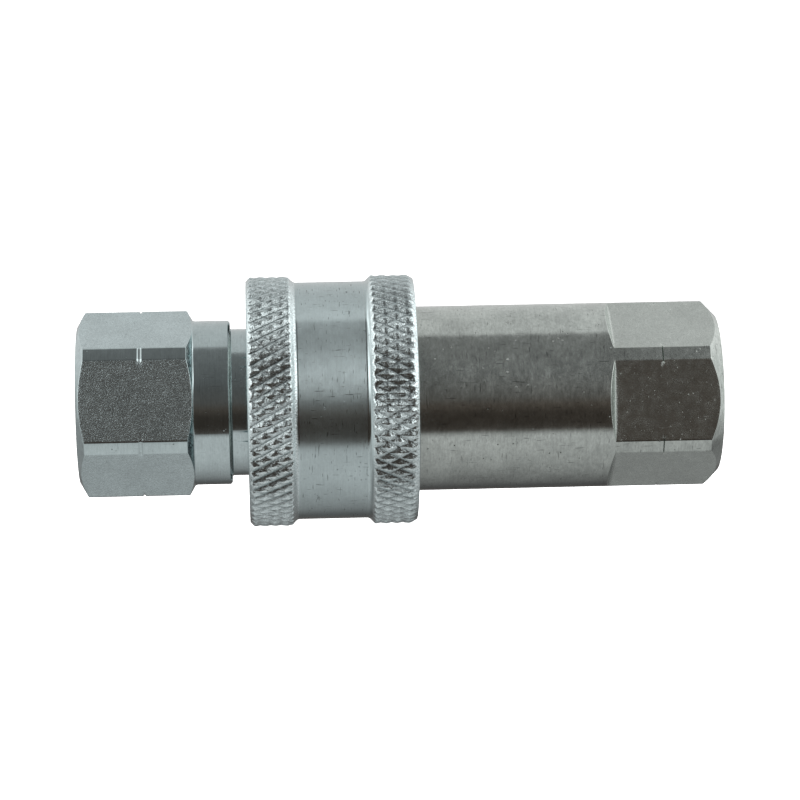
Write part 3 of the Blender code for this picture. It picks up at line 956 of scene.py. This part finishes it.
def wire_steel(name):
    """Drawn spring wire: dark, with long draw marks and a thin oil sheen."""
    material, tree, shader, place = new_material(name)
    draw = streaks(tree, place, 8.0, 2.0, 3.0, 0.7)
    tone = remap(tree, noise(tree, place, 1.2, 3.0, 0.6), 0.3, 0.7, 0.8, 1.1)
    dull = remap(tree, draw, 0.3, 0.7, 0.24, 0.42)
    set_shader(tree, shader, (0.42, 0.42, 0.43), tone, dull, bump(tree, draw, 0.003))
    return material


def ball_steel(name):
    """Polished bearing steel with faint smears."""
    material, tree, shader, place = new_material(name)
    smear = noise(tree, place, 1.5, 3.0, 0.6)
    tone = remap(tree, smear, 0.3, 0.7, 0.93, 1.03)
    set_shader(tree, shader, (0.70, 0.71, 0.73), tone, remap(tree, smear, 0.3, 0.7, 0.06, 0.14))
    return material


def rubber(name):
    """Black nitrile rubber with a fine moulded texture and a little grease."""
    material, tree, shader, place = new_material(name)
    skin = noise(tree, place, 9.0, 4.0, 0.6)
    tone = remap(tree, skin, 0.3, 0.7, 0.7, 1.3)
    grease = remap(tree, noise(tree, place, 0.7, 2.0), 0.4, 0.65, 0.32, 0.62)
    set_shader(tree, shader, (0.022, 0.022, 0.023), tone, grease, bump(tree, skin, 0.01), 0.0)
    return material


def backup_plastic(name):
    """Off-white machined plastic."""
    material, tree, shader, place = new_material(name)
    lathe = streaks(tree, place, 10.0, 0.5, 3.0, 0.6)
    tone = remap(tree, lathe, 0.3, 0.7, 0.93, 1.02)
    dull = remap(tree, lathe, 0.3, 0.7, 0.38, 0.52)
    set_shader(tree, shader, (0.84, 0.83, 0.78), tone, dull, bump(tree, lathe, 0.004), 0.0)
    return material


# ---------------- pieces


def stand_for(piece, node):
    """Let a piece stand for a CAD node and ride on its body."""
    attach(piece, body_of_node[node])
    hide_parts(node)


def hex_body(node, section, clocking, nearness, start, materials):
    """A body with a hexagon. The second material goes on the hexagon's flats, which are the
    rows past a start whose radius is near that of a flat's middle."""
    rows = [
        row
        for row, (station, radius) in enumerate(section(clocking))
        if abs(radius - HEX_FLAT) < nearness and station > start
    ]
    angles = hex_angles(clocking)

    def zone_of(turn, row):
        on_flat = from_flat(angles[turn], clocking) < FLAT_EDGE - FLAT_INSET
        return 1 if on_flat and rows[0] <= row < rows[-1] else 0

    return turned(node + "_detail", angles, section, materials, zone_of)


def make_nipple(materials):
    piece = hex_body("nipple_body", nipple_section, NIPPLE_CLOCKING, 0.01, 0.0, materials)
    even_normals(piece)
    stand_for(piece, "nipple_body")


def make_coupler(materials):
    start = COUPLER_FLATS - 1.0
    piece = hex_body("coupler_body", coupler_section, COUPLER_CLOCKING, 0.3, start, materials)
    middle = Vector(around(BALL_STATION, (SOCKET + TUBE) / 2, 0.0))
    stand_up = Matrix.Rotation(math.pi / 2, 4, "X")
    cut(piece, "ball_holes", holes_round(BALL_COUNT, BALL_HOLE, BALL_HOLE_CUT, middle, stand_up))
    even_normals(piece)
    stand_for(piece, "coupler_body")


def make_balls(material):
    """The balls; sorting puts their faces, which come in any order, in the same one each run."""
    for index in range(BALL_COUNT):
        node = f"lock_ball_{index + 1}"
        low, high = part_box(node)
        shape = bmesh.new()
        bmesh.ops.create_uvsphere(shape, u_segments=40, v_segments=24, radius=BALL * MM)
        bmesh.ops.translate(shape, vec=(low + high) / 2, verts=shape.verts)
        shape.verts.index_update()
        points = np.array([corner.co for corner in shape.verts])
        faces = sorted([corner.index for corner in face.verts] for face in shape.faces)
        shape.free()
        stand_for(new_piece(node + "_detail", points, faces, [material]), node)


def make_spring(node, size, fixed, free, material):
    """A spring coiled between the ends of its CAD node and baked in place; it rides on no body and does
    not stretch.
    """
    piece = coil(node + "_detail", size, *ends(node), material)
    start, end = around(fixed, 0.0, 0.0), around(free, 0.0, 0.0)
    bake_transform(piece)
    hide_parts(node)


def make_retaining_ring(node, inner, material):
    piece = split_ring(node + "_detail", inner, reach(node), *ends(node), material)
    stand_for(piece, node)


def make_flat_ring(node, inner, rounding, material):
    outline = box_section(inner, reach(node), *ends(node), rounding)
    stand_for(ring(node + "_detail", outline, material), node)


def make_seal(node, material):
    low, high = ends(node)
    section = (high - low) / 2
    piece = torus(node + "_detail", reach(node) - section, section, (low + high) / 2, material)
    stand_for(piece, node)


def make_valve(side, seat, way, metal, wire, seal):
    """One valve: poppet with its seal, guide, retaining ring and spring. way points from
    the seat to the valve's back, -1 in the nipple and 1 in the coupler."""
    cone = SEAT_DEPTH / (CHAMBER - SEAT)

    def cone_back(radius):
        return POPPET_GAP + (radius - SEAT) * cone

    def placed(outline, shift=0.0):
        """Points whose first value is a distance behind the seat, given as stations."""
        return [(seat + way * (back + shift), *rest) for back, *rest in outline]

    name = f"{side}_poppet"
    low, high = ends(name)
    tip = ((high if way < 0 else low) - seat) * way - VALVE_OPEN
    inner, outer = SEAL_GROOVE
    shut = [
        (tip, POPPET_CENTRE),
        (tip, POPPET_NOSE - POPPET_CHAMFER, 0.1),
        (tip + POPPET_CHAMFER, POPPET_NOSE, 0.1),
        (cone_back(POPPET_NOSE), POPPET_NOSE, 0.1),
        (cone_back(inner), inner, 0.03),
        (SEAL_GROOVE_FLOOR, inner),
        (SEAL_GROOVE_FLOOR, outer),
        (cone_back(outer), outer, 0.03),
        (cone_back(POPPET_HEAD), POPPET_HEAD, 0.05),
        (POPPET_BACK, POPPET_HEAD, 0.12),
        (POPPET_BACK, STEM, 0.25),
        (STEM_END, STEM, 0.25),
        (STEM_END, POPPET_CENTRE),
    ]
    outline = soften(placed(shut, VALVE_OPEN))[::way]
    angles = even_angles(ROUND_SIDES)
    piece = turned(name + "_detail", angles, lambda angle: outline, [metal], solid=True)
    piece.data.set_sharp_from_angle(angle=SHARP_EDGE)
    even_normals(piece)
    stand_for(piece, name)
    make_seal(f"{side}_poppet_seal", seal)

    guide = [
        (GUIDE_HUB_FRONT, GUIDE_HOLE, 0.1),
        (GUIDE_HUB_FRONT, GUIDE_HUB, 0.2),
        (GUIDE_FRONT, GUIDE_HUB, 0.3),
        (GUIDE_FRONT, GUIDE, 0.1),
        (GUIDE_BACK, GUIDE, 0.15),
        (GUIDE_BACK, GUIDE_HOLE, 0.15),
    ]
    name = f"{side}_valve_guide"
    piece = ring(name + "_detail", placed(guide)[::way], metal)
    piece.modifiers.clear()
    middle = seat + way * (GUIDE_FRONT + GUIDE_BACK) / 2
    centre = Vector(around(middle, FLOW_HOLE_CENTRE, 90.0))
    lie_down = Matrix.Rotation(math.pi / 2, 4, "Y")
    holes = holes_round(FLOW_HOLES, FLOW_HOLE, FLOW_HOLE_CUT, centre, lie_down)
    cut(piece, side + "_flow_holes", holes)
    even_normals(piece)
    stand_for(piece, name)
    make_retaining_ring(f"{side}_guide_retaining_ring", RING_INNER, metal)

    name = f"{side}_valve_spring"
    fixed, free = ends(name)[::-way]
    make_spring(name, VALVE_SPRING, fixed, free, wire)


def make_sleeve_fittings(metal, wire, seal, plastic):
    """The rings and the spring between sleeve and body, and the rings that seal the probe."""
    make_retaining_ring("sleeve_retaining_ring", SLEEVE_RING_INNER, metal)
    make_flat_ring("sleeve_spring_washer", WASHER_INNER, WASHER_ROUNDING, metal)
    low, high = ends("sleeve_spring")
    make_spring("sleeve_spring", SLEEVE_SPRING, high, low, wire)
    make_seal("probe_seal_o_ring", seal)
    rounding = BACKUP_RING_ROUNDING
    make_flat_ring("probe_backup_ring", BACKUP_RING_INNER, rounding, plastic)


# ---------------- studio


# How bright the studio looks from the coupler, by the angle above the camera's direction.
STUDIO_LIGHT = (
    (-180, 0.35), (-165, 0.10), (-150, 0.11), (-140, 0.19), (-130, 0.30), (-120, 0.38), (-110, 0.46),
    (-100, 0.53), (-90, 0.60), (-75, 0.65), (-52, 0.63), (-48, 0.52), (-42, 0.05), (-34, 0.034),
    (-20, 0.038), (-10, 0.070), (0, 0.098), (20, 0.105), (30, 0.128), (50, 0.160), (65, 0.185),
    (82, 0.215), (86, 0.60), (110, 0.63), (150, 0.66), (165, 0.66), (180, 0.35),
)
# The same well to either side, where two bright screens stand, and a pale light still further
# round. An edge is how far along the axis a direction points, from 0 to 1, where each fades in.
SCREEN_LIGHT = (
    (-180, 0.35), (-130, 0.25), (-110, 0.40), (-90, 0.50), (-50, 0.50), (-42, 0.05), (-18, 0.05),
    (-4, 0.35), (10, 1.4), (28, 2.15), (45, 1.75), (58, 1.2), (68, 1.0), (86, 1.1), (92, 1.9),
    (102, 1.5), (115, 1.1), (130, 0.95), (160, 0.85), (180, 0.35),
)
SCREEN_EDGE = (0.32, 0.52)
END_EDGE = (0.80, 0.97)
END_LIGHT = (0.79, 0.80, 0.80)
# Where the light is dim it is warmer, in full from a light of 0.078 down.
SHADE_WARMTH = (1.26, 1.0, 0.84)
SHADE_START = 0.108
SHADE_RANGE = 0.03

# Floor and lamp, in metres and watts.
FLOOR_RADIUS = 1.3
FLOOR_BEND = 0.5
FLOOR_HEIGHT = 2.0
FLOOR_SIDES = 64
FLOOR_BEND_STEPS = 12
FLOOR_GREY = 0.90
LAMP_SIZE = 1.8
LAMP_POWER = 32.0
LAMP_HEIGHT = 1.1


def light_ramp(tree, place, table):
    """Light by angle, a little warmer where it is dim."""
    ramp = add(tree, "ShaderNodeValToRGB", {"Fac": place})
    stops = ramp.color_ramp.elements
    while len(stops) > 1:
        stops.remove(stops[-1])
    for index, (degrees, light) in enumerate(table):
        where = (degrees + 180) / 360
        stop = stops[0] if index == 0 else stops.new(where)
        stop.position = where
        warm = min(max((SHADE_START - light) / SHADE_RANGE, 0.0), 1.0)
        stop.color = [light * (1 + warm * (tone - 1)) for tone in SHADE_WARMTH] + [1.0]
    return ramp.outputs["Color"]


def make_world():
    """A soft studio seen in reflections: bright overhead and below, dim in front, with a
    bright screen to each side and pale ends."""
    world = bpy.data.worlds.new("studio")
    bpy.context.scene.world = world
    world.use_nodes = True
    tree = world.node_tree
    direction = add(tree, "ShaderNodeTexCoord").outputs["Generated"]
    side, depth, up = add(tree, "ShaderNodeSeparateXYZ", {"Vector": direction}).outputs
    angle = calc(tree, "ARCTAN2", up, calc(tree, "MULTIPLY", depth, -1.0))
    place = calc(tree, "MULTIPLY_ADD", angle, 1 / math.tau, 0.5)
    aside = calc(tree, "ABSOLUTE", side)
    light = light_ramp(tree, place, STUDIO_LIGHT)
    screens = light_ramp(tree, place, SCREEN_LIGHT)
    light = mix_colours(tree, light, screens, remap(tree, aside, *SCREEN_EDGE))
    light = mix_colours(tree, light, END_LIGHT, remap(tree, aside, *END_EDGE))
    tree.links.new(light, tree.nodes["Background"].inputs["Color"])


def make_floor(lowest):
    """A round pale floor that turns up into a backdrop on every side."""
    line = [(FLOOR_RADIUS - FLOOR_BEND, lowest)]
    for step in range(1, FLOOR_BEND_STEPS + 1):
        turn = math.pi / 2 * step / FLOOR_BEND_STEPS
        across = FLOOR_RADIUS - FLOOR_BEND + FLOOR_BEND * math.sin(turn)
        line.append((across, lowest + FLOOR_BEND * (1 - math.cos(turn))))
    line.append((FLOOR_RADIUS, lowest + FLOOR_HEIGHT))
    points = [(0.0, 0.0, lowest)]
    for side in range(FLOOR_SIDES):
        turn = math.tau * side / FLOOR_SIDES
        points += [(across * math.cos(turn), across * math.sin(turn), z) for across, z in line]
    count = len(line)
    faces = []
    for side in range(FLOOR_SIDES):
        here, there = 1 + side * count, 1 + (side + 1) % FLOOR_SIDES * count
        faces.append((0, here, there))
        for row in range(count - 1):
            faces.append((here + row, here + row + 1, there + row + 1, there + row))
    material, tree, shader, place = new_material("pale_floor")
    tone = remap(tree, noise(tree, place, 0.02, 2.0), 0.3, 0.7, 0.98, 1.0)
    tree.links.new(shade(tree, (FLOOR_GREY,) * 3, tone), shader.inputs["Base Color"])
    shader.inputs["Roughness"].default_value = 0.9
    shader.inputs["Specular IOR Level"].default_value = 0.0
    floor = new_piece("floor", np.array(points), faces, [material])
    floor.visible_glossy = False
    floor.visible_diffuse = False
    floor.visible_shadow = False


def make_lamp():
    """A large soft lamp overhead for the floor."""
    data = bpy.data.lights.new("overhead", "AREA")
    data.shape = "DISK"
    data.size = LAMP_SIZE
    data.energy = LAMP_POWER
    data.use_shadow = False
    lamp = bpy.data.objects.new("overhead", data)
    lamp.location = (0.0, 0.0, LAMP_HEIGHT)
    lamp.visible_glossy = False
    bpy.context.scene.collection.objects.link(lamp)


# The camera, its sensor in millimetres, the rest in metres and degrees.
SENSOR_WIDTH = 36.0
CAMERA_DISTANCE = 0.45
CAMERA_AZIMUTH = -2.2
CAMERA_ROLL = -1.2
FRAME_WIDTH = 0.1063
FRAME_OFFSET = (0.00026, -0.00017)


def make_camera():
    """A camera square to the axis but for a few degrees, framed on the middle of the part."""
    data = bpy.data.cameras.new("camera")
    data.sensor_width = SENSOR_WIDTH
    data.lens = SENSOR_WIDTH * CAMERA_DISTANCE / FRAME_WIDTH
    camera = bpy.data.objects.new("camera", data)
    turn = math.radians(CAMERA_AZIMUTH)
    back = Vector((math.sin(turn), -math.cos(turn), 0.0))
    right = Vector((math.cos(turn), math.sin(turn), 0.0))
    aim = right * FRAME_OFFSET[0] + Vector((0.0, 0.0, FRAME_OFFSET[1]))
    camera.location = aim + back * CAMERA_DISTANCE
    level = (-back).to_track_quat("-Z", "Y").to_matrix()
    camera.rotation_euler = (level @ Matrix.Rotation(math.radians(CAMERA_ROLL), 3, "Z")).to_euler()
    bpy.context.scene.collection.objects.link(camera)
    bpy.context.scene.camera = camera


# ---------------- the scene

turned_blue = plated("zinc_turned_blue", BLUE_ZINC, 0.11)
flats_blue = plated("zinc_flats_blue", BLUE_FLATS, 0.18, 0.0, grain=0.045, scratches=0.2, glint=0.15)
knurl_zinc = plated("zinc_knurl", BRIGHT_KNURL, 0.10, 0.0, grain=0.04, knurl_shading=True, scratches=0.0)
waist_zinc = plated("zinc_waist", BLUE_ZINC, 0.29, 0.004, scratches=1.8, brushed=1.0, uneven=0.05)
turned_pale = plated(
    "zinc_turned_pale",
    PALE_ZINC,
    0.19,
    0.003,
    stains=0.26,
    pits=1.2,
    scratches=1.3,
    shaded_underside=True,
    brushed=0.85,
    uneven=0.08,
)
flats_pale = plated(
    "zinc_flats_pale",
    PALE_ZINC,
    0.22,
    0.0,
    grain=0.018,
    specks=0.03,
    pits=0.1,
    scratches=0.2,
    glint=0.12,
)
turned_steel = steel("turned_steel", (0.56, 0.57, 0.58), 0.22)
spring_wire = wire_steel("spring_wire")
balls = ball_steel("ball_steel")
seal_rubber = rubber("seal_rubber")
white_plastic = backup_plastic("backup_plastic")

make_nipple([turned_blue, flats_blue])
make_coupler([turned_pale, flats_pale])
make_sleeve([knurl_zinc, waist_zinc, turned_blue])
make_balls(balls)
make_sleeve_fittings(turned_steel, spring_wire, seal_rubber, white_plastic)
for side, seat, way in (("nipple", NIPPLE_SEAT, -1), ("coupler", COUPLER_SEAT, 1)):
    make_valve(side, seat, way, turned_steel, spring_wire, seal_rubber)

make_world()
make_floor(cad_box[0].z)
make_lamp()
make_camera()

bpy.context.scene.view_settings.view_transform = "Standard"
